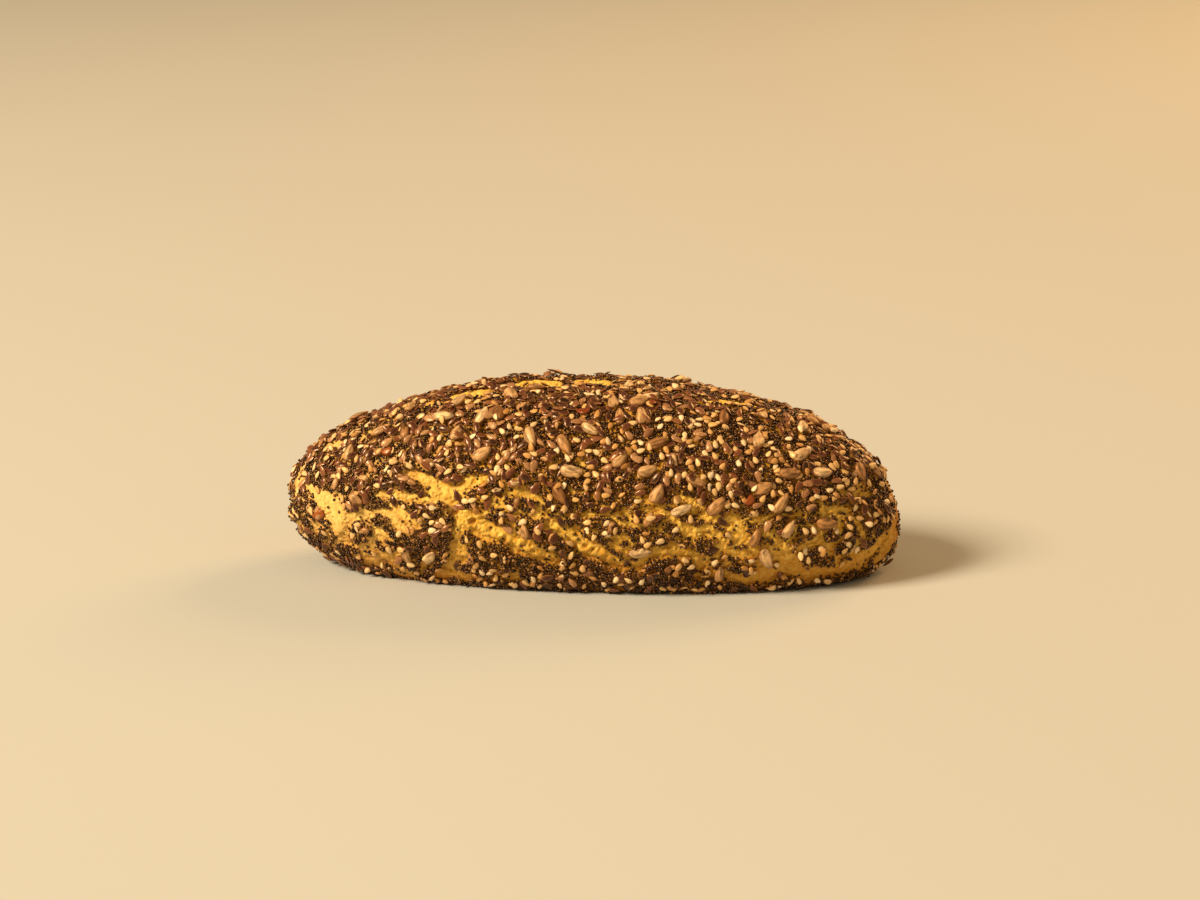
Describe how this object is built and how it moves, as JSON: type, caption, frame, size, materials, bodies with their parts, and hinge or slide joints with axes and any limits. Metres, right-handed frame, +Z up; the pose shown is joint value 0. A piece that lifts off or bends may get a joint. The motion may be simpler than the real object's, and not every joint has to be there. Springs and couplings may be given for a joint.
{
  "type": "turmeric bread loaf",
  "caption": "Long oval seeded loaf with a yellow crust, flat base and whole kernels set in its crust; rests on a table.",
  "frame": {"origin": "middle of the flat base, on the surface that the loaf rests on", "axes": "+Z up, +X along the loaf towards its blunt end, -Y the front"},
  "size_m": [0.24, 0.0975, 0.075],
  "materials": {
    "crust": "matte",
    "sunflower_kernel": "satin",
    "flax_seed": "satin",
    "sesame_seed": "satin",
    "poppy_seed": "satin"
  },
  "bodies": {
    "root": {"loaf": "crust", "kernel_01": "sunflower_kernel", "kernel_02": "sunflower_kernel", "kernel_03": "sunflower_kernel", "kernel_04": "sunflower_kernel", "kernel_05": "sunflower_kernel", "kernel_06": "sunflower_kernel", "kernel_07": "sunflower_kernel", "kernel_08": "sunflower_kernel", "kernel_09": "sunflower_kernel", "kernel_10": "sunflower_kernel", "kernel_11": "sunflower_kernel", "kernel_12": "sunflower_kernel", "kernel_13": "sunflower_kernel", "kernel_14": "sunflower_kernel", "kernel_15": "sunflower_kernel", "kernel_16": "sunflower_kernel", "kernel_17": "sunflower_kernel", "kernel_18": "sunflower_kernel", "kernel_19": "sunflower_kernel", "kernel_20": "sunflower_kernel", "kernel_21": "sunflower_kernel", "kernel_22": "sunflower_kernel", "kernel_23": "sunflower_kernel", "kernel_24": "sunflower_kernel", "kernel_25": "sunflower_kernel", "kernel_26": "sunflower_kernel", "kernel_27": "sunflower_kernel", "kernel_28": "sunflower_kernel", "kernel_29": "sunflower_kernel", "kernel_30": "sunflower_kernel", "kernel_31": "sunflower_kernel", "kernel_32": "sunflower_kernel", "kernel_33": "sunflower_kernel", "kernel_34": "sunflower_kernel", "kernel_35": "sunflower_kernel", "kernel_36": "sunflower_kernel", "kernel_37": "sunflower_kernel", "kernel_38": "sunflower_kernel", "kernel_39": "sunflower_kernel", "kernel_40": "sunflower_kernel", "kernel_41": "sunflower_kernel", "kernel_42": "sunflower_kernel", "kernel_43": "sunflower_kernel", "kernel_44": "sunflower_kernel", "kernel_45": "sunflower_kernel", "kernel_46": "sunflower_kernel", "kernel_47": "sunflower_kernel", "kernel_48": "sunflower_kernel", "kernel_49": "sunflower_kernel", "kernel_50": "sunflower_kernel", "kernel_51": "sunflower_kernel", "kernel_52": "sunflower_kernel", "kernel_53": "sunflower_kernel", "kernel_54": "sunflower_kernel", "kernel_55": "sunflower_kernel", "kernel_56": "sunflower_kernel"}
  },
  "joints": []
}
